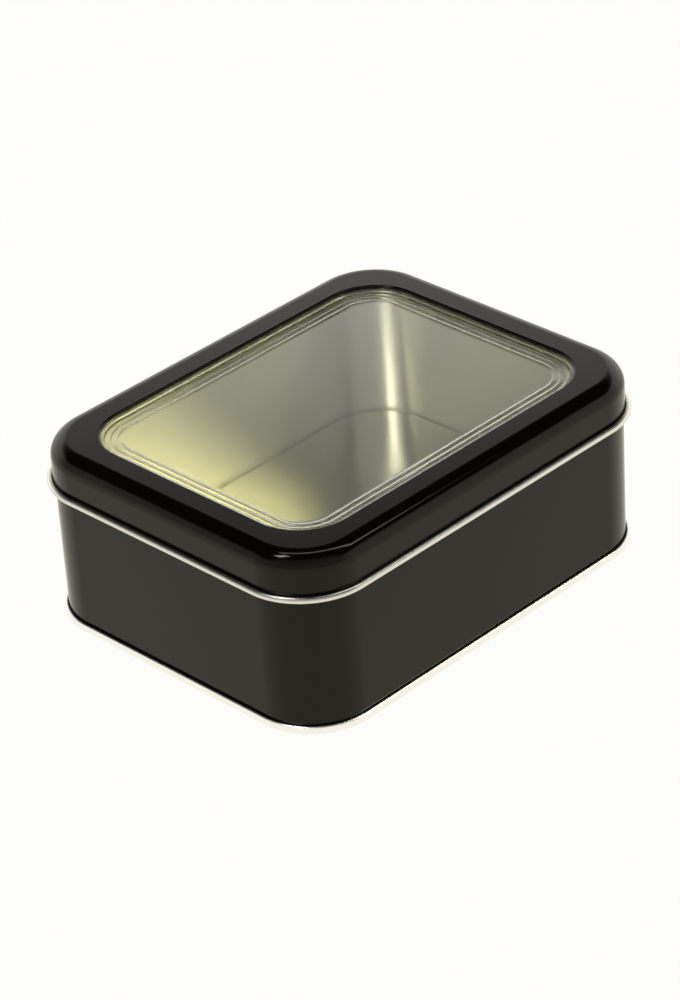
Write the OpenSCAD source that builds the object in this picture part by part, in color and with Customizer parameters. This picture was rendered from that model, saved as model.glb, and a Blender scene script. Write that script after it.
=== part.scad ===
// Rectangular tinplate box with a slip-on windowed lid.
// Millimetres. +Z is up, +X runs along the long side, and the origin is the centre of
// the footprint on the surface that the box stands on.
//
// Every piece of sheet is drawn as its bent cross-section and carried round a rounded
// rectangle. In such a profile x is the distance outward from the box's outer wall face
// (or from the lid opening, for what follows the opening) and y is the height.

/* [Box] */
// Length of the box wall, outside
body_l = 150; // [120:1:190]
// Width of the box wall, outside
body_w = 118; // [100:1:150]
// Height of the closed tin
tin_h = 60; // [45:1:90]
// Corner radius of the box wall, outside
corner_r = 20.5; // [16:0.5:28]
// Thickness of the black tinplate of the wall and the lid
sheet_t = 0.25; // [0.2:0.01:0.3]
// Outside diameter of the curl round the top of the wall
rim_d = 2; // [1.8:0.1:2.4]
// Gap between the rim of the wall and the inside of the lid's shoulder
rim_gap = 0.2; // [0.15:0.05:0.4]

/* [Side seam] */
// Flat wall left between the back left corner and the lock seam
seam_inset = 4; // [1:1:40]
// Width of the hooks that hold each other in the lock seam
hook_w = 4.4; // [3.5:0.1:5]
// Air left between folded layers in the lock seam
fold_gap = 0.04; // [0.02:0.01:0.06]
// Length over which the sheet steps back out to the wall's face
seam_step = 1; // [0.8:0.1:1.5]

/* [Base] */
// Thickness of the bright plate of the base
base_t = 0.3; // [0.25:0.01:0.35]
// Height of the rolled seam round the foot
foot_h = 2.6; // [2.4:0.1:3.2]
// Air left between the layers of the rolled seam
foot_gap = 0.1; // [0.06:0.01:0.12]
// Outer bend radius at the bottom edges of the rolled seam
foot_r = 0.5; // [0.4:0.05:0.55]
// Clear height under the floor panel, from the surface to its top face
floor_z = 6; // [4:0.1:8]
// Outer bend radius round the edge of the floor panel
floor_r = 0.8; // [0.6:0.1:1.2]

/* [Lid] */
// Gap between the lid's skirt and the box wall
lid_gap = 0.25; // [0.2:0.05:0.4]
// Depth of the lid, from its top to the bottom of its curl
lid_depth = 14.6; // [12:0.1:20]
// Radius of the lid's shoulder, outside
shoulder_r = 5.5; // [4:0.1:6]
// Outside diameter of the curl round the foot of the skirt
curl_d = 2.1; // [1.8:0.1:2.6]
// Width of the border, from the skirt's outer face to the window opening
border_w = 12.2; // [11.5:0.1:16]
// Corner radius of the window opening
opening_r = 16.5; // [12:0.5:24]
// Height of the rolled hem round the opening
hem_d = 1.4; // [1.2:0.1:1.8]
// Width of the hem's flat return under the border
hem_return = 2.5; // [1.5:0.1:3]

/* [Window] */
// Thickness of the clear sheet
pane_t = 0.4; // [0.3:0.05:0.5]
// Number of stiffening beads round the pane
bead_count = 3; // [1:1:4]
// Spacing of the beads
bead_pitch = 2.2; // [1.9:0.1:2.6]
// Radius of a bead's crest
bead_r = 1; // [0.8:0.05:1.2]
// Height of a bead above the flat of the pane
bead_h = 0.35; // [0.25:0.05:0.6]
// Depth of the flat of the pane below the pane's clamped flange
pane_drop = 0.6; // [0.5:0.05:1]
// Clearance between the pane's edge and the retaining ring's upright lip
pane_gap = 0.3; // [0.2:0.05:0.5]
// How far the retaining ring stays back from the opening
retainer_back = 1; // [0.5:0.1:2]

/* [Hidden] */
$fn = 96;

tinplate = [0.78, 0.77, 0.74];
black_enamel = [0.03, 0.03, 0.03];
clear_sheet = [0.8, 0.85, 0.85, 0.35];

// Rolled foot seam, layer by layer outward from the wall's outer face
end_hook_in = foot_gap;
end_hook_out = end_hook_in + base_t;
body_hook_in = end_hook_out + foot_gap;
body_hook_out = body_hook_in + sheet_t;
foot_wall_in = body_hook_out + foot_gap;
foot_wall_out = foot_wall_in + base_t;
chuck_out = -sheet_t - fold_gap;
chuck_in = chuck_out - base_t;
// The wall's own U-turn inside the seam
turn_r = (body_hook_out + sheet_t) / 2;
turn_x = body_hook_out - turn_r;
turn_z = base_t + foot_gap + turn_r;
// The base plate's turn over the top of the wall's hook
cap_r = (foot_wall_out - end_hook_in) / 2;
cap_x = foot_wall_out - cap_r;
cap_z = foot_h - cap_r;

// Lid sections
skirt_in = lid_gap;
skirt_out = lid_gap + sheet_t;
curl_r = curl_d / 2;
curl_x = skirt_in + curl_r;
curl_z = tin_h - lid_depth + curl_r;
shoulder_x = skirt_out - shoulder_r;
shoulder_z = tin_h - shoulder_r;
border_under = tin_h - sheet_t;
// The curl stops short of the skirt, at this angle past its outermost point
curl_end = 125;

// Rim of the wall, tucked up into the lid's shoulder
rim_r = rim_d / 2;
rim_reach = shoulder_r - sheet_t - rim_gap - rim_r;
rim_z = shoulder_z + sqrt(max(0, pow(rim_reach, 2) - pow(shoulder_x + rim_r, 2)));
// The rim's curl stops short of the wall, at this angle round from the wall
rim_end = 305;

// Window opening and what hangs below it
opening_l = body_l + 2 * (skirt_out - border_w);
opening_w = body_w + 2 * (skirt_out - border_w);
hem_r = hem_d / 2;
flange_top = tin_h - hem_d;
flange_under = flange_top - pane_t;
pane_top = flange_top - pane_drop;
pane_under = pane_top - pane_t;
flange_x = shoulder_x - sheet_t - pane_gap;
bead_zone = bead_count * bead_pitch;

// Lock seam, by depth inward from the wall's outer face
layer = sheet_t + fold_gap;
fold_r = layer + sheet_t / 2;
seam_low = floor_z + fold_gap;
seam_high = rim_z - rim_r - fold_gap;
seam_half = hook_w / 2;
seam_right = seam_half + fold_r + fold_gap + seam_step;
seam_x = -body_l / 2 + corner_r + seam_inset + seam_right;

// Rounded rectangle outline
module plate_outline(l, w, r) {
    square([l - 2 * r, w], center = true);
    square([l, w - 2 * r], center = true);
    for (x = [-1, 1], y = [-1, 1]) {
        translate([x * (l / 2 - r), y * (w / 2 - r)]) circle(r);
    }
}

// Flat sheet of thickness t with its underside at z, cut to a rounded rectangle
module plate(l, w, r, z, t) {
    translate([0, 0, z]) linear_extrude(t) plate_outline(l, w, r);
}

// Flat ring between two rounded rectangles
module plate_ring(outer, inner, z, t) {
    translate([0, 0, z]) linear_extrude(t) difference() {
        plate_outline(outer[0], outer[1], outer[2]);
        plate_outline(inner[0], inner[1], inner[2]);
    }
}

// Size [length, width, radius] of the rounded rectangle that lies x outside another
function grown(l, w, r, x) = [l + 2 * x, w + 2 * x, r + x];

// Carries a profile along one straight side of given length, out to the reach
module along_side(length, reach) {
    translate([reach, length / 2, 0]) rotate([90, 0, 0]) linear_extrude(length) children();
}

// Carries a profile all round a rounded rectangle
module around(l, w, r) {
    for (turn = [0, 1]) {
        rotate(180 * turn) along_side(w - 2 * r, l / 2) children();
        rotate(90 + 180 * turn) along_side(l - 2 * r, w / 2) children();
    }
    for (x = [0, 1], y = [0, 1]) {
        mirror([x, 0, 0]) mirror([0, y, 0]) translate([l / 2 - r, w / 2 - r, 0])
            rotate_extrude(angle = 90) translate([r, 0]) children();
    }
}

// Upright or flat stretch of sheet between two corners of its section
module strip(x0, y0, x1, y1) {
    translate([x0, y0]) square([x1 - x0, y1 - y0]);
}

// Bent stretch of sheet: outer radius r, thickness t, from one angle to another
module bend(x, y, r, t, from, to) {
    steps = ceil((to - from) / 60);
    translate([x, y]) intersection() {
        difference() {
            circle(r);
            circle(r - t);
        }
        polygon(concat([[0, 0]], [for (i = [0:steps])
            let (a = from + (to - from) * i / steps) 2 * r * [cos(a), sin(a)]]));
    }
}

// Wall of the box: hook inside the foot seam, wall, and curl inward round the rim
module wall_profile() {
    bend(turn_x, turn_z, turn_r, sheet_t, 180, 360);
    strip(body_hook_in, turn_z, body_hook_out, cap_z);
    strip(-sheet_t, turn_z, 0, rim_z);
    bend(-rim_r, rim_z, rim_r, sheet_t, 0, rim_end);
}

// Lock seam in plan: x along the wall, y inward from its outer face
module lock_seam_profile() {
    // left end of the strip: outer layer, turned in and back to the third layer
    strip(-seam_right, 0, seam_half, sheet_t);
    bend(seam_half, fold_r, fold_r, sheet_t, -90, 90);
    strip(-seam_half, 2 * layer, seam_half, 2 * layer + sheet_t);
    // right end of the strip: innermost layer, turned out and back to the second layer
    strip(-seam_half, layer, seam_half, layer + sheet_t);
    bend(-seam_half, layer + fold_r, fold_r, sheet_t, 90, 270);
    strip(-seam_half, 3 * layer, seam_right - seam_step, 3 * layer + sheet_t);
    // step back out to the face of the wall
    polygon([[seam_right - seam_step, 3 * layer], [seam_right, 0], [seam_right, sheet_t],
        [seam_right - seam_step, 3 * layer + sheet_t]]);
}

module body_wall() {
    color(black_enamel) {
        difference() {
            around(body_l, body_w, corner_r) wall_profile();
            translate([seam_x - seam_right, body_w / 2 - 2 * sheet_t, seam_low])
                cube([2 * seam_right, 4 * sheet_t, seam_high - seam_low]);
        }
        translate([seam_x, body_w / 2, seam_low]) linear_extrude(seam_high - seam_low)
            mirror([0, 1]) lock_seam_profile();
    }
}

// Base plate: hook, foot wall, foot, chuck wall and the bend into the floor
module base_profile() {
    strip(end_hook_in, turn_z + fold_gap, end_hook_out, cap_z);
    bend(cap_x, cap_z, cap_r, base_t, 0, 180);
    strip(foot_wall_in, foot_r, foot_wall_out, cap_z);
    bend(foot_wall_out - foot_r, foot_r, foot_r, base_t, 270, 360);
    strip(chuck_in + foot_r, 0, foot_wall_out - foot_r, base_t);
    bend(chuck_in + foot_r, foot_r, foot_r, base_t, 180, 270);
    strip(chuck_in, foot_r, chuck_out, floor_z - floor_r);
    bend(chuck_out - floor_r, floor_z - floor_r, floor_r, base_t, 0, 90);
}

module base_panel() {
    panel = grown(body_l, body_w, corner_r, chuck_out - floor_r);
    color(tinplate) {
        around(body_l, body_w, corner_r) base_profile();
        plate(panel[0], panel[1], panel[2], floor_z - base_t, base_t);
    }
}

// Outer part of the lid: shoulder, skirt and curl outward round its foot
module skirt_profile() {
    bend(shoulder_x, shoulder_z, shoulder_r, sheet_t, 0, 90);
    strip(skirt_in, curl_z, skirt_out, shoulder_z);
    bend(curl_x, curl_z, curl_r, sheet_t, 180, 360 + curl_end);
}

// Hem rolled under round the opening, measured outward from the opening
module hem_profile() {
    bend(hem_r, tin_h - hem_r, hem_r, sheet_t, 90, 270);
    strip(hem_r, flange_top, hem_r + hem_return, flange_top + sheet_t);
}

module lid_frame() {
    color(black_enamel) {
        around(body_l, body_w, corner_r) skirt_profile();
        plate_ring(grown(body_l, body_w, corner_r, shoulder_x),
            grown(opening_l, opening_w, opening_r, hem_r), border_under, sheet_t);
        around(opening_l, opening_w, opening_r) hem_profile();
    }
}

// Beaded edge of the pane, measured outward from the opening
module pane_profile() {
    // step down from the clamped flange
    polygon([[0, flange_under], [0, flange_top], [-pane_t, pane_top], [-pane_t, pane_under]]);
    difference() {
        union() {
            strip(-pane_t - bead_zone, pane_under, -pane_t, pane_top);
            for (i = [1:bead_count]) {
                intersection() {
                    translate([bead_x(i), pane_top + bead_h - bead_r]) circle(bead_r);
                    strip(-pane_t - bead_zone, pane_under, -pane_t, flange_top);
                }
            }
        }
        for (i = [1:bead_count]) {
            translate([bead_x(i), pane_top + bead_h - bead_r]) circle(bead_r - pane_t);
        }
    }
}

// Place of the middle of bead i
function bead_x(i) = -pane_t - (i - 0.5) * bead_pitch;

module window_pane() {
    field = grown(opening_l, opening_w, opening_r, -pane_t - bead_zone);
    color(clear_sheet) {
        plate_ring(grown(body_l, body_w, corner_r, flange_x),
            grown(opening_l, opening_w, opening_r, 0), flange_under, pane_t);
        around(opening_l, opening_w, opening_r) pane_profile();
        plate(field[0], field[1], field[2], pane_under, pane_t);
    }
}

// Lip of the retaining ring, upright against the underside of the lid's border
module lip_profile() {
    strip(shoulder_x - sheet_t, flange_under, shoulder_x, border_under);
}

module window_retainer() {
    color(tinplate) {
        plate_ring(grown(body_l, body_w, corner_r, shoulder_x),
            grown(opening_l, opening_w, opening_r, retainer_back), flange_under - sheet_t, sheet_t);
        around(body_l, body_w, corner_r) lip_profile();
    }
}

body_wall();
base_panel();
lid_frame();
window_pane();
window_retainer();
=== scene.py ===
"""Looks of the windowed storage tin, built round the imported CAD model.

Every piece of sheet is drawn again as the middle line of its bent section, carried round a
rounded rectangle with true surface normals, and given one finish on each side of the sheet:
black enamel outside, bare tinplate inside. Sizes are in millimetres until a mesh is made.
In a section, x is the distance outward from an outline and z is the height.
"""

import math

import bpy
import numpy as np
from mathutils import Matrix, Vector

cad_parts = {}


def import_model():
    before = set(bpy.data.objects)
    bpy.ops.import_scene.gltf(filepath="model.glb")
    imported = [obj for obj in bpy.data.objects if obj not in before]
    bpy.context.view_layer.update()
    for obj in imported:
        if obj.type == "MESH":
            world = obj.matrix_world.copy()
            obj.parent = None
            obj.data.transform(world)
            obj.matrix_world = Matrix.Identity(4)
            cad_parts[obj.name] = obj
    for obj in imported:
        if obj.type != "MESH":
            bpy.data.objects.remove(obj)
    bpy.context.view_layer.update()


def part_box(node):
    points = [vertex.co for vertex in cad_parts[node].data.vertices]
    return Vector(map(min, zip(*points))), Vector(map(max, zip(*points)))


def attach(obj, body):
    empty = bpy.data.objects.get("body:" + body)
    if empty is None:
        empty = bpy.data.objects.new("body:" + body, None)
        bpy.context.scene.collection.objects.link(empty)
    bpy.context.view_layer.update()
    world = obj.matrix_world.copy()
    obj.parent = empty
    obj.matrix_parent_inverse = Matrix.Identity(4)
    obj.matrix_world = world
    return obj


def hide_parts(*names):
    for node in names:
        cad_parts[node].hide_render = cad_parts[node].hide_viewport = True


MM = 0.001

# ---------------------------------------------------------------- sizes of the tin
# A turn is an angle in degrees.
SHEET_T = 0.25
BASE_T = 0.3
PANE_T = 0.4
CORNER_R = 20.5
RIM_R = 1.0
RIM_GAP = 0.2
RIM_TURN = 305

FOOT_H = 2.6
FOOT_GAP = 0.1
FOOT_R = 0.5
FLOOR_Z = 6.0
# wider than the solid's 0.8, as the photo's dark line round the floor is
FLOOR_R = 1.4
FOLD_GAP = 0.04

LID_GAP = 0.25
SHOULDER_R = 5.5
CURL_R = 1.05
CURL_TURN = 305
BORDER_W = 12.2
OPENING_R = 16.5
HEM_R = 0.7
HEM_RETURN = 2.5

PANE_DROP = 0.6
PANE_GAP = 0.3
BEAD_COUNT = 3
BEAD_PITCH = 2.2
BEAD_H = 0.35
STEP_START = 0.2
STEP_SLOPE = 55
STEP_BEND_R = 0.35
FIELD_W = 0.2
RETAINER_BACK = 1.0
RETAINER_BEND_R = 0.3

SEAM_INSET = 4.0
HOOK_W = 4.4
SEAM_STEP = 1.0

# ---------------------------------------------------------------- the camera's place
CAMERA_TARGET_Z = 2.6
CAMERA_AZIMUTH = -44.06
CAMERA_ELEVATION = 31.59
CAMERA_ROLL = -3.90
CAMERA_DISTANCE = 1094.1
CAMERA_SIDE_SHIFT = -1.63
CAMERA_UP_SHIFT = 19.11
CAMERA_LENS = 127.66
CAMERA_SENSOR = 36.0
# metres
CAMERA_CLIP = (0.01, 100)

# ---------------------------------------------------------------- finishes
ENAMEL_COLOUR = (0.0014, 0.0012, 0.0009)
ENAMEL_TINT = (0.98, 0.95, 0.84)
ENAMEL_IOR = 1.32
ENAMEL_ROUGHNESS = (0.06, 0.11)
# patches of gloss and bumps of peel to a metre, and the bumps' height in metres
GLOSS_SCALE = 60.0
PEEL_SCALE = 700.0
PEEL_HEIGHT = 0.0001
PEEL_STRENGTH = 0.03
# rolling lines to a metre along the sheet and across it
ROLLING_LINES = (40.0, 2500.0, 1.0)
# part of a full turn from along the rolling lines to the way that their gloss spreads
SPREAD_TURN = 0.25
CLEAR_COLOUR = (0.97, 0.98, 0.96)
CLEAR_IOR = 1.5

# ---------------------------------------------------------------- the studio, in metres
PAPER_REACH = 6.0
PAPER_COLOUR = (0.93, 0.92, 0.89)
PAPER_SEEN = (1.0, 0.996, 0.98)
PAPER_MIRRORED = (1.0, 0.955, 0.84)
PAPER_GLOW = 0.95
WARM_WHITE = (1.0, 0.985, 0.94)
CREAM = (1.0, 0.97, 0.56)
# level ways from the tin, to the camera and to the camera's left
CAMERA_BACK = (-0.695, -0.719)
CAMERA_LEFT = (-0.719, 0.695)
# (sine of the elevation, grey level)
BACKDROP_LEVELS = (
    (0.0, 1.3), (0.47, 1.3), (0.515, 0.52), (0.58, 0.12), (0.66, 0.02), (1.0, 0.01))
ROOM_LEVELS = ((0.0, 0.6), (0.5, 0.45), (0.8, 0.3), (0.9, 0.03), (1.0, 0.01))
RIGHT_LEVELS = ((0.0, 1.0), (0.42, 0.95), (0.54, 0.03), (1.0, 0.01))
LEFT_LEVELS = ((0.0, 0.7), (0.42, 0.6), (0.54, 0.03), (1.0, 0.01))
# levels over the right side's, their way, and where they start and are full along it
LEVELS_BY_WAY = (
    (LEFT_LEVELS, CAMERA_LEFT, 0.0, 0.4),
    (BACKDROP_LEVELS, CAMERA_BACK, -0.25, -0.6),
    (ROOM_LEVELS, CAMERA_BACK, 0.25, 0.6),
)

# ---------------------------------------------------------------- the meshes
# steps to a corner seen from above, and degrees to a step of a bend
CORNER_STEPS = 40
TURN_STEP = 7.5
UV_NAME = "sheet"


class Section:
    """Middle line of a bent sheet, drawn stroke by stroke. A heading of 0 is outward and
    90 is up. Each point keeps the normal on the left of the stroke and the outline that it
    follows, and each stroke keeps the finishes of the sheet's left and right sides."""

    def __init__(self, x, z, heading, outline=None, left=0, right=0):
        self.at = np.array([x, z], float)
        self.heading = heading
        self.outline = outline
        self.finish = (left, right)
        self.points, self.normals, self.outlines, self.finishes = [], [], [], []
        self.mark()

    def left(self):
        angle = math.radians(self.heading)
        return np.array([-math.sin(angle), math.cos(angle)])

    def mark(self):
        self.points.append(self.at.copy())
        self.normals.append(self.left())
        self.outlines.append(self.outline)
        self.finishes.append(self.finish)

    def paint(self, left, right):
        """Gives what follows other finishes."""
        self.finish = (left, right)

    def go(self, length):
        angle = math.radians(self.heading)
        self.at = self.at + length * np.array([math.cos(angle), math.sin(angle)])
        self.mark()

    def turn(self, angle, radius):
        """Bends to the left by angle, or to the right where it is negative."""
        side = math.copysign(1, angle)
        centre = self.at + side * radius * self.left()
        steps = max(1, math.ceil(abs(angle) / TURN_STEP))
        for _ in range(steps):
            self.heading += angle / steps
            self.at = centre - side * radius * self.left()
            self.mark()

    def follow(self, outline, x):
        """Goes on from another outline, at a distance x from it and at the same height."""
        self.outline = outline
        self.at = np.array([x, self.at[1]])
        self.mark()


class Outline:
    """Rounded rectangle seen from above, column by column: a point and the outward direction
    there. Stops are more columns, at places along the side at +Y."""

    def __init__(self, length, width, radius, stops=()):
        self.points, self.outward, self.stops = [], [], {}
        sides = (length - 2 * radius, width - 2 * radius)
        for corner in range(4):
            sx, sy = ((1, 1), (-1, 1), (-1, -1), (1, -1))[corner]
            centre = np.array([sx * sides[0] / 2, sy * sides[1] / 2])
            for step in range(CORNER_STEPS + 1):
                angle = math.radians(90 * corner + 90 * step / CORNER_STEPS)
                direction = np.array([math.cos(angle), math.sin(angle)])
                self.points.append(centre + radius * direction)
                self.outward.append(direction)
            if corner == 0:
                for x in sorted(stops, reverse=True):
                    self.stops[x] = len(self.points)
                    self.points.append(np.array([x, width / 2]))
                    self.outward.append(np.array([0.0, 1.0]))
        self.points = np.array(self.points)
        self.outward = np.array(self.outward)

    def ring(self, x, z):
        return np.c_[self.points + x * self.outward, np.full(len(self.points), z)]

    def directions(self, nx, nz):
        return np.c_[nx * self.outward, np.full(len(self.outward), nz)]

    def lengths(self):
        """Distance along the outline to each column, and the whole way round at the end."""
        steps = np.linalg.norm(np.diff(np.r_[self.points, self.points[:1]], axis=0), axis=1)
        return np.r_[0, np.cumsum(steps)]


class MeshData:
    """Vertices, faces, a material index for each face, and a normal and a texture place
    for each corner."""

    def __init__(self):
        self.vertices, self.faces, self.slots = [], [], []
        self.normals, self.places = [], []

    def add_vertices(self, points):
        first = len(self.vertices)
        self.vertices.extend(map(tuple, points))
        return first

    def add_face(self, corners, normals, places, slot):
        """Turns the face round where it looks away from its own normals."""
        p = np.array([self.vertices[i] for i in corners[:3]])
        if np.dot(np.cross(p[1] - p[0], p[2] - p[1]), np.sum(normals, axis=0)) < 0:
            corners, normals, places = corners[::-1], normals[::-1], places[::-1]
        self.faces.append(tuple(corners))
        self.normals.extend(map(tuple, normals))
        self.places.extend(map(tuple, places))
        self.slots.append(slot)

    def make(self, name, materials, body, replaced):
        mesh = bpy.data.meshes.new(name)
        scaled = [tuple(MM * c for c in v) for v in self.vertices]
        mesh.from_pydata(scaled, [], self.faces)
        for material in materials:
            mesh.materials.append(material)
        mesh.polygons.foreach_set("material_index", self.slots)
        mesh.polygons.foreach_set("use_smooth", [True] * len(self.faces))
        layer = mesh.uv_layers.new(name=UV_NAME)
        layer.data.foreach_set("uv", (MM * np.array(self.places)).ravel())
        mesh.normals_split_custom_set(self.normals)
        mesh.update()
        piece = add_object(name, mesh)
        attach(piece, body)
        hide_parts(replaced)
        return piece


def add_object(name, data):
    made = bpy.data.objects.new(name, data)
    bpy.context.scene.collection.objects.link(made)
    return made


def add_sheet(data, section, thickness, skip=None, capped=False):
    """Carries a section round its outlines as a closed sheet. skip(stroke, column) leaves
    both faces of a place out. A capped section ends in two flat faces instead of an edge."""
    half = thickness / 2
    last = len(section.points) - 1
    steps = np.linalg.norm(np.diff(section.points, axis=0), axis=1)
    distance = np.r_[0, np.cumsum(steps)]
    order = [(i, 1) for i in range(last + 1)] + [(i, -1) for i in range(last, -1, -1)]
    rows = []
    for i, side in order:
        place = section.points[i] + side * half * section.normals[i]
        path = section.outlines[i]
        first = data.add_vertices(path.ring(*place))
        rows.append((first, path.directions(*(side * section.normals[i]))))
    around = section.outlines[0].lengths()
    columns = len(around) - 1
    for row, (i, side) in enumerate(order):
        if capped and row == last:
            continue
        following = (row + 1) % len(order)
        (first_a, normals_a), (first_b, normals_b) = rows[row], rows[following]
        edge = row in (last, len(order) - 1)
        if edge:
            tangent = section.points[i] - section.points[i - 1 if i else 1]
            normals_a = normals_b = section.outlines[i].directions(*tangent)
        stroke = i if edge else max(i, order[following][0])
        slot = section.finishes[max(stroke, 1)][0 if side > 0 else 1]
        v_a, v_b = distance[i], distance[order[following][0]]
        for column in range(columns):
            if skip and not edge and skip(stroke, column):
                continue
            other = (column + 1) % columns
            corners = [first_a + column, first_a + other, first_b + other, first_b + column]
            normals = [normals_a[column], normals_a[other],
                       normals_b[other], normals_b[column]]
            places = [(around[column], v_a), (around[column + 1], v_a),
                      (around[column + 1], v_b), (around[column], v_b)]
            data.add_face(corners, normals, places, slot)
    if capped:
        up = section.normals[last][1]
        left_slot, right_slot = section.finishes[last]
        add_cap(data, rows[last][0], columns, up, left_slot)
        add_cap(data, rows[last + 1][0], columns, -up, right_slot)


def add_cap(data, first, count, up, slot):
    """Flat face over one ring of vertices."""
    corners = list(range(first, first + count))
    places = [data.vertices[c][:2] for c in corners]
    data.add_face(corners, [(0.0, 0.0, up)] * count, places, slot)


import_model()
lid_low, lid_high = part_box("lid_frame")
TIN_H = lid_high.z / MM
CURL_OUT = LID_GAP + 2 * CURL_R
BODY_L = 2 * (lid_high.x / MM - CURL_OUT)
BODY_W = 2 * (lid_high.y / MM - CURL_OUT)
CURL_Z = lid_low.z / MM + CURL_R

# rolled foot seam, layer by layer outward from the wall's outer face
END_HOOK_X = FOOT_GAP + BASE_T / 2
BODY_HOOK_X = FOOT_GAP * 2 + BASE_T + SHEET_T / 2
FOOT_WALL_X = FOOT_GAP * 3 + BASE_T * 1.5 + SHEET_T
WALL_X = -SHEET_T / 2
CHUCK_X = -SHEET_T - FOLD_GAP - BASE_T / 2
TURN_MID_R = (BODY_HOOK_X - WALL_X) / 2
TURN_Z = BASE_T + FOOT_GAP + TURN_MID_R + SHEET_T / 2
CAP_MID_R = (FOOT_WALL_X - END_HOOK_X) / 2
CAP_Z = FOOT_H - CAP_MID_R - BASE_T / 2

# lid
SKIRT_OUT = LID_GAP + SHEET_T
SHOULDER_X = SKIRT_OUT - SHOULDER_R
SHOULDER_Z = TIN_H - SHOULDER_R
OPENING_L = BODY_L + 2 * (SKIRT_OUT - BORDER_W)
OPENING_W = BODY_W + 2 * (SKIRT_OUT - BORDER_W)
FLANGE_TOP = TIN_H - 2 * HEM_R
RIM_REACH = SHOULDER_R - SHEET_T - RIM_GAP - RIM_R
RIM_Z = SHOULDER_Z + math.sqrt(max(0.0, RIM_REACH ** 2 - (SHOULDER_X + RIM_R) ** 2))

# lock seam
LAYER = SHEET_T + FOLD_GAP
SEAM_LOW = FLOOR_Z + FOLD_GAP
SEAM_HIGH = RIM_Z - RIM_R - FOLD_GAP
SEAM_HALF = HOOK_W / 2
SEAM_RIGHT = SEAM_HALF + LAYER + SHEET_T / 2 + FOLD_GAP + SEAM_STEP
SEAM_X = -BODY_L / 2 + CORNER_R + SEAM_INSET + SEAM_RIGHT


# ---------------------------------------------------------------- materials
def new_material(name):
    material = bpy.data.materials.new(name)
    material.use_nodes = True
    tree = material.node_tree
    tree.nodes.clear()
    return material, tree


def add_node(tree, kind, inputs=(), **settings):
    """Node with some settings. Its inputs are set to values or linked to other sockets."""
    node = tree.nodes.new(kind)
    for key, value in settings.items():
        setattr(node, key, value)
    for key, value in dict(inputs).items():
        if isinstance(value, bpy.types.NodeSocket):
            tree.links.new(value, node.inputs[key])
        else:
            node.inputs[key].default_value = value
    return node


def add_range(tree, share, low, high):
    """Value that goes from low to high as a share goes from 0 to 1."""
    inputs = {"Value": share, "To Min": low, "To Max": high}
    return add_node(tree, "ShaderNodeMapRange", inputs).outputs["Result"]


def add_blend(tree, share, first, second):
    """Colour that goes from the first to the second as a share goes from 0 to 1."""
    inputs = {"Factor": share, 6: first, 7: second}
    return add_node(tree, "ShaderNodeMix", inputs, data_type="RGBA").outputs[2]


def add_math(tree, operation, first, second):
    inputs = {0: first, 1: second}
    return add_node(tree, "ShaderNodeMath", inputs, operation=operation).outputs["Value"]


def enamel():
    """Gloss black enamel, faintly warm: a fine orange peel and a slightly uneven gloss."""
    material, tree = new_material("black_enamel")
    place = add_node(tree, "ShaderNodeTexCoord").outputs["Object"]
    gloss = add_node(tree, "ShaderNodeTexNoise", {
        "Vector": place, "Scale": GLOSS_SCALE, "Detail": 3.0})
    peel = add_node(tree, "ShaderNodeTexNoise", {
        "Vector": place, "Scale": PEEL_SCALE, "Detail": 2.0})
    bump = add_node(tree, "ShaderNodeBump", {
        "Strength": PEEL_STRENGTH, "Distance": PEEL_HEIGHT, "Height": peel.outputs["Fac"]})
    shader = add_node(tree, "ShaderNodeBsdfPrincipled", {
        "Base Color": (*ENAMEL_COLOUR, 1),
        "Specular Tint": (*ENAMEL_TINT, 1),
        "IOR": ENAMEL_IOR,
        "Roughness": add_range(tree, gloss.outputs["Fac"], *ENAMEL_ROUGHNESS),
        "Normal": bump.outputs["Normal"]})
    add_node(tree, "ShaderNodeOutputMaterial", {"Surface": shader.outputs["BSDF"]})
    return material


def tinplate(name, dark, light, roughness, spread=0.0):
    """Bare tinplate, faintly warm, with fine rolling lines along the sheet. Its colour and
    roughness vary with the lines, and its gloss is spread across them."""
    material, tree = new_material(name)
    grain = add_node(tree, "ShaderNodeTangent", direction_type="UV_MAP", uv_map=UV_NAME)
    place = add_node(tree, "ShaderNodeUVMap", uv_map=UV_NAME)
    stretch = add_node(tree, "ShaderNodeMapping", {
        "Vector": place.outputs["UV"], "Scale": ROLLING_LINES})
    lines = add_node(tree, "ShaderNodeTexNoise", {
        "Vector": stretch.outputs["Vector"], "Scale": 1.0, "Detail": 4.0})
    shader = add_node(tree, "ShaderNodeBsdfPrincipled", {
        "Base Color": add_blend(tree, lines.outputs["Fac"], (*dark, 1), (*light, 1)),
        "Metallic": 1.0,
        "Roughness": add_range(tree, lines.outputs["Fac"], *roughness),
        "Anisotropic": spread,
        "Anisotropic Rotation": SPREAD_TURN,
        "Tangent": grain.outputs["Tangent"]})
    add_node(tree, "ShaderNodeOutputMaterial", {"Surface": shader.outputs["BSDF"]})
    return material


def clear_sheet(name, roughness):
    """Clear plastic sheet. Rays from lamps pass it straight."""
    material, tree = new_material(name)
    shader = add_node(tree, "ShaderNodeBsdfPrincipled", {
        "Base Color": (*CLEAR_COLOUR, 1),
        "Transmission Weight": 1.0,
        "Roughness": roughness,
        "IOR": CLEAR_IOR})
    clear = add_node(tree, "ShaderNodeBsdfTransparent")
    path = add_node(tree, "ShaderNodeLightPath")
    mix = add_node(tree, "ShaderNodeMixShader", {
        "Fac": path.outputs["Is Shadow Ray"],
        1: shader.outputs["BSDF"],
        2: clear.outputs["BSDF"]})
    add_node(tree, "ShaderNodeOutputMaterial", {"Surface": mix.outputs["Shader"]})
    return material


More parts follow.
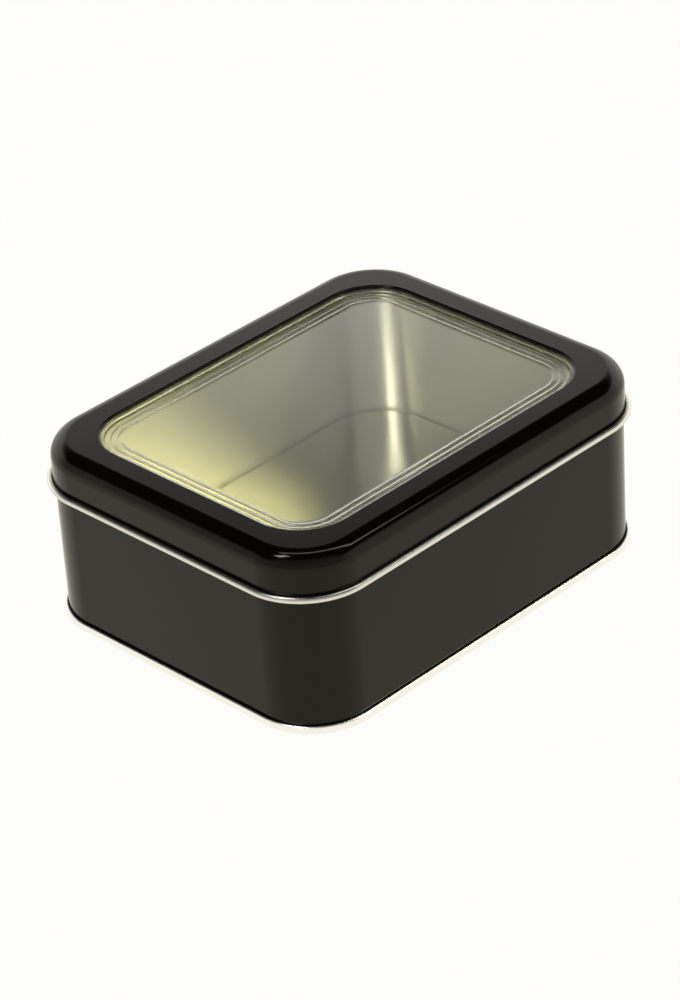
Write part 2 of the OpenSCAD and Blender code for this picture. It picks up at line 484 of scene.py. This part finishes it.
BLACK = enamel()
SATIN = tinplate("satin_tinplate", (0.72, 0.71, 0.58), (0.78, 0.77, 0.64), (0.27, 0.33), 0.9)
DRAWN = tinplate("drawn_tinplate", (0.69, 0.68, 0.56), (0.75, 0.74, 0.62), (0.22, 0.28))
# Painted shade: a darker copy of the tinplate's colour for the lid's curl, which dims its
# gloss.
CURL_TIN_PAINTED_SHADE = tinplate("curl_tinplate_painted_shade", (0.74, 0.73, 0.67), (0.80, 0.79, 0.73), (0.22, 0.3))
# Painted light: a brighter, whiter copy of the tinplate's colour for the foot seam, above
# bare tin's own, so that it shows nearly white.
FOOT_TIN_PAINTED_LIGHT = tinplate("foot_tinplate_painted_light", (0.92, 0.93, 0.94), (0.97, 0.98, 0.99), (0.22, 0.3))
CLEAR = clear_sheet("clear_sheet", 0.02)
FORMED = clear_sheet("formed_sheet", 0.17)
# places of the finishes in the wall's and the lid's lists of materials, the base's and the
# pane's. The lid's third is the curl's darker copy of the tinplate, painted shade, and the
# base's second is the foot seam's whiter copy, painted light.
ENAMELLED, BARE, SHADED_CURL_SIDE = 0, 1, 2
PANEL, FOOT = 0, 1
FLAT, RIM = 0, 1


# ---------------------------------------------------------------- pieces
def body_wall():
    """Wall: hook in the foot seam, upright wall, curl inward round the rim, and the lock
    seam on the back."""
    stops = (SEAM_X - SEAM_RIGHT, SEAM_X + SEAM_RIGHT)
    outline = Outline(BODY_L, BODY_W, CORNER_R, stops)
    section = Section(BODY_HOOK_X, CAP_Z, -90, outline, BARE, ENAMELLED)
    section.go(CAP_Z - TURN_Z)
    section.turn(-180, TURN_MID_R)
    section.go(SEAM_LOW - TURN_Z)
    section.go(SEAM_HIGH - SEAM_LOW)
    seam_stroke = len(section.points) - 1
    section.go(RIM_Z - SEAM_HIGH)
    section.turn(RIM_TURN, RIM_R - SHEET_T / 2)
    first, last = (outline.stops[x] for x in reversed(stops))
    data = MeshData()

    def in_seam(stroke, column):
        return stroke == seam_stroke and first <= column < last

    add_sheet(data, section, SHEET_T, in_seam)
    add_lock_seam(data)
    return data.make("wall", [BLACK, SATIN], "box", "body_wall")


def add_lock_seam(data):
    """Two hooks holding each other in the back wall. The outer sheet comes from the -X side,
    and the inner one steps back out to the wall's face on the +X side."""
    middle = SHEET_T / 2
    outer = Section(-SEAM_RIGHT, -middle, 0)
    outer.go(SEAM_HALF + SEAM_RIGHT)
    outer.turn(-180, LAYER)
    outer.go(2 * SEAM_HALF)
    inner = Section(SEAM_HALF, -LAYER - middle, 180)
    inner.go(2 * SEAM_HALF)
    inner.turn(180, LAYER)
    inner.go(SEAM_HALF + SEAM_RIGHT - SEAM_STEP)
    rise = 3 * LAYER
    inner.heading = math.degrees(math.atan2(rise, SEAM_STEP))
    inner.mark()
    inner.go(math.hypot(rise, SEAM_STEP))
    inner.heading = 0
    inner.mark()
    for plan in (outer, inner):
        add_upright_sheet(data, plan, ENAMELLED, BARE)


def add_upright_sheet(data, plan, left_slot, right_slot):
    """Sheet of the lock seam, from its plan. Plan x is along the back wall from the middle
    of the seam, and plan z is outward from the wall's face."""
    low, high = SEAM_LOW, SEAM_HIGH
    half = SHEET_T / 2
    for side, slot in ((1, left_slot), (-1, right_slot)):
        along = 0.0
        previous = None
        for point, normal in zip(plan.points, plan.normals):
            place = point + side * half * normal
            corner = (SEAM_X + place[0], BODY_W / 2 + place[1])
            direction = (side * normal[0], side * normal[1], 0.0)
            first = data.add_vertices([(*corner, low), (*corner, high)])
            if previous:
                was, direction_was, place_was, along_was = previous
                step = float(np.linalg.norm(place - place_was))
                if step > 1e-6:
                    along = along_was + step
                    data.add_face(
                        [was, was + 1, first + 1, first],
                        [direction_was, direction_was, direction, direction],
                        [(along_was, low), (along_was, high), (along, high), (along, low)],
                        slot)
            previous = (first, direction, place, along)


def base_panel():
    """Base: end hook, foot wall, foot, chuck wall, and the floor panel."""
    outline = Outline(BODY_L, BODY_W, CORNER_R)
    # the foot seam's slot holds the whiter tinplate copy, painted light
    section = Section(END_HOOK_X, TURN_Z + FOLD_GAP, 90, outline, FOOT, FOOT)
    section.go(CAP_Z - TURN_Z - FOLD_GAP)
    section.turn(-180, CAP_MID_R)
    mid_r = FOOT_R - BASE_T / 2
    section.go(CAP_Z - FOOT_R)
    section.turn(-90, mid_r)
    section.go(FOOT_WALL_X - CHUCK_X - 2 * mid_r)
    section.turn(-90, mid_r)
    section.paint(PANEL, PANEL)
    section.go(FLOOR_Z - FLOOR_R - FOOT_R)
    section.turn(90, FLOOR_R - BASE_T / 2)
    section.go(CORNER_R / 2)
    data = MeshData()
    add_sheet(data, section, BASE_T, capped=True)
    return data.make("base", [DRAWN, FOOT_TIN_PAINTED_LIGHT], "box", "base_panel")


def lid_frame():
    """Lid: return, hem, border, shoulder, skirt and the curl outward round its foot."""
    opening = Outline(OPENING_L, OPENING_W, OPENING_R)
    outline = Outline(BODY_L, BODY_W, CORNER_R)
    hem_mid = HEM_R - SHEET_T / 2
    section = Section(HEM_R + HEM_RETURN, FLANGE_TOP + SHEET_T / 2, 180, opening,
                      ENAMELLED, BARE)
    section.go(HEM_RETURN)
    section.turn(-180, hem_mid)
    section.follow(outline, SHOULDER_X)
    section.turn(-90, SHOULDER_R - SHEET_T / 2)
    section.go(SHOULDER_Z - CURL_Z)
    # the curl's outer side takes the darker tinplate copy, painted shade
    section.paint(ENAMELLED, SHADED_CURL_SIDE)
    section.turn(CURL_TURN, CURL_R - SHEET_T / 2)
    data = MeshData()
    add_sheet(data, section, SHEET_T)
    return data.make("lid", [BLACK, SATIN, CURL_TIN_PAINTED_SHADE], "lid", "lid_frame")


def window_pane():
    """Pane: clamped flange, step down, wavy beads and the flat field."""
    opening = Outline(OPENING_L, OPENING_W, OPENING_R)
    outline = Outline(BODY_L, BODY_W, CORNER_R)
    flange_x = SHOULDER_X - SHEET_T - PANE_GAP
    section = Section(flange_x, FLANGE_TOP - PANE_T / 2, 180, outline, RIM, RIM)
    section.follow(opening, STEP_START)
    # step down
    bends_drop = 2 * STEP_BEND_R * (1 - math.cos(math.radians(STEP_SLOPE)))
    section.turn(STEP_SLOPE, STEP_BEND_R)
    section.go((PANE_DROP - bends_drop) / math.sin(math.radians(STEP_SLOPE)))
    section.turn(-STEP_SLOPE, STEP_BEND_R)
    # beads: waves of equal arcs up and down, from a sheet's thickness inside the opening
    rise = 2 * math.degrees(math.atan(2 * BEAD_H / BEAD_PITCH))
    wave_r = BEAD_PITCH / (4 * math.sin(math.radians(rise)))
    section.go(section.at[0] + PANE_T)
    for _ in range(BEAD_COUNT):
        section.turn(-rise, wave_r)
        section.turn(2 * rise, wave_r)
        section.turn(-rise, wave_r)
    section.paint(FLAT, FLAT)
    section.go(FIELD_W)
    data = MeshData()
    add_sheet(data, section, PANE_T, capped=True)
    return data.make("pane", [CLEAR, FORMED], "lid", "window_pane")


def window_retainer():
    """Retaining ring: flat under the pane's flange, and a lip up to the border."""
    opening = Outline(OPENING_L, OPENING_W, OPENING_R)
    outline = Outline(BODY_L, BODY_W, CORNER_R)
    flat_z = FLANGE_TOP - PANE_T - SHEET_T / 2
    lip_x = SHOULDER_X - SHEET_T / 2
    section = Section(RETAINER_BACK, flat_z, 0, opening)
    section.follow(outline, lip_x - RETAINER_BEND_R)
    section.turn(90, RETAINER_BEND_R)
    section.go(TIN_H - SHEET_T - flat_z - RETAINER_BEND_R)
    data = MeshData()
    add_sheet(data, section, SHEET_T)
    return data.make("retainer", [SATIN], "lid", "window_retainer")


inner_pieces = [body_wall(), base_panel(), window_pane(), window_retainer()]
lid_frame()


# ---------------------------------------------------------------- the studio
def aim(made, place, right, up, back):
    """Stands a camera or a lamp at a place. It looks the other way from back."""
    axes = Matrix((right, up, back)).transposed()
    made.matrix_world = Matrix.Translation(place) @ axes.to_4x4()


def camera():
    azimuth, elevation = math.radians(CAMERA_AZIMUTH), math.radians(CAMERA_ELEVATION)
    back = Vector((math.sin(azimuth) * math.cos(elevation),
                   -math.cos(azimuth) * math.cos(elevation), math.sin(elevation)))
    right = (-back).cross(Vector((0, 0, 1))).normalized()
    up = right.cross(-back)
    place = back * CAMERA_DISTANCE + right * CAMERA_SIDE_SHIFT + up * CAMERA_UP_SHIFT
    place.z += CAMERA_TARGET_Z
    turned = Matrix.Rotation(math.radians(CAMERA_ROLL), 3, back)
    data = bpy.data.cameras.new("camera")
    data.sensor_width = CAMERA_SENSOR
    data.lens = CAMERA_LENS
    data.clip_start, data.clip_end = CAMERA_CLIP
    made = add_object("camera", data)
    aim(made, place * MM, turned @ right, turned @ up, back)
    bpy.context.scene.camera = made


def floor():
    """White paper. It glows to the camera, and a little warmer to what mirrors it or lets
    it through, and is plain paper to other light."""
    mesh = bpy.data.meshes.new("floor")
    corners = [(x * PAPER_REACH, y * PAPER_REACH, 0)
               for x, y in ((-1, -1), (1, -1), (1, 1), (-1, 1))]
    mesh.from_pydata(corners, [], [(0, 1, 2, 3)])
    made = add_object("floor", mesh)
    material, tree = new_material("paper")
    path = add_node(tree, "ShaderNodeLightPath").outputs
    shade = add_blend(tree, path["Is Camera Ray"], (*PAPER_MIRRORED, 1), (*PAPER_SEEN, 1))
    bounced = add_math(tree, "MAXIMUM", path["Is Glossy Ray"], path["Is Transmission Ray"])
    seen = add_math(tree, "MAXIMUM", path["Is Camera Ray"], bounced)
    lit = add_node(tree, "ShaderNodeBsdfDiffuse", {"Color": (*PAPER_COLOUR, 1)})
    white = add_node(tree, "ShaderNodeEmission", {"Color": shade})
    mix = add_node(tree, "ShaderNodeMixShader", {
        "Fac": add_math(tree, "MULTIPLY", seen, PAPER_GLOW),
        1: lit.outputs["BSDF"],
        2: white.outputs["Emission"]})
    add_node(tree, "ShaderNodeOutputMaterial", {"Surface": mix.outputs["Shader"]})
    mesh.materials.append(material)


def add_ramp(tree, source, stops):
    """Warm grey level that follows a value through the given (value, level) stops."""
    ramp = add_node(tree, "ShaderNodeValToRGB", {"Fac": source})
    elements = ramp.color_ramp.elements
    elements[0].position, elements[1].position = stops[0][0], stops[-1][0]
    for position, _ in stops[1:-1]:
        elements.new(position)
    for element, (_, level) in zip(elements, stops):
        element.color = (*(level * c for c in WARM_WHITE), 1)
    return ramp.outputs["Color"]


def world():
    """A white backdrop behind the tin, a pale room on the camera's side, a pale left and a
    white right, all dark above. Levels go by the sine of the elevation."""
    made = bpy.data.worlds.new("studio")
    bpy.context.scene.world = made
    made.use_nodes = True
    tree = made.node_tree
    tree.nodes.clear()
    place = add_node(tree, "ShaderNodeTexCoord").outputs["Generated"]
    height = add_node(tree, "ShaderNodeSeparateXYZ", {"Vector": place}).outputs["Z"]
    colour = add_ramp(tree, height, RIGHT_LEVELS)
    for levels, way, start, end in LEVELS_BY_WAY:
        toward = add_node(tree, "ShaderNodeVectorMath", {0: place, 1: (*way, 0)},
                          operation="DOT_PRODUCT")
        share = add_node(tree, "ShaderNodeMapRange", {
            "Value": toward.outputs["Value"], "From Min": start, "From Max": end},
            interpolation_type="SMOOTHSTEP")
        there = add_ramp(tree, height, levels)
        colour = add_blend(tree, share.outputs["Result"], colour, there)
    background = add_node(tree, "ShaderNodeBackground", {"Color": colour})
    add_node(tree, "ShaderNodeOutputWorld", {"Surface": background.outputs["Background"]})


def lamp(name, direction, distance, size, radiance, glossy=True, only=None, colour=None,
         turn=0):
    """Area lamp that looks at the tin. The width of its size lies level, or turned by some
    degrees about the way it looks. It may be hidden from mirrors, or flagged off all but
    some pieces."""
    width, depth = size
    data = bpy.data.lights.new(name, "AREA")
    data.shape = "RECTANGLE"
    data.size, data.size_y = width, depth
    data.energy = radiance * math.pi * width * depth
    if colour:
        data.color = colour
    made = add_object(name, data)
    back = Vector(direction).normalized()
    level = Vector((0, 0, 1)).cross(back).normalized()
    level.rotate(Matrix.Rotation(math.radians(turn), 3, back))
    aim(made, back * distance, level, back.cross(level), back)
    made.visible_camera = False
    made.visible_glossy = glossy
    made.visible_transmission = glossy
    if only:
        group = bpy.data.collections.new(name)
        for piece in only:
            group.objects.link(piece)
        made.light_linking.receiver_collection = group


camera()
floor()
world()
lamp("key", (-0.41, 0.12, 0.905), distance=1.0, size=(0.14, 0.26), radiance=11.0)
lamp("long_strip", (0.24, -0.065, 0.969), distance=1.16, size=(1.35, 0.12), radiance=4.2,
     turn=59)
lamp("right_box", (0.45, -0.60, 0.66), distance=1.2, size=(0.4, 0.5), radiance=7.0,
     only=inner_pieces, colour=CREAM)
lamp("left_box", (-0.785, -0.235, 0.574), distance=1.2, size=(0.26, 0.32), radiance=9.0,
     only=inner_pieces)
lamp("left_tail", (-0.82, 0.02, 0.574), distance=1.2, size=(0.5, 0.32), radiance=1.2,
     only=inner_pieces)
lamp("fill", (0, 0.01, 1), distance=2.5, size=(2.0, 2.0), radiance=2.4, glossy=False)
bpy.context.scene.view_settings.view_transform = "Standard"
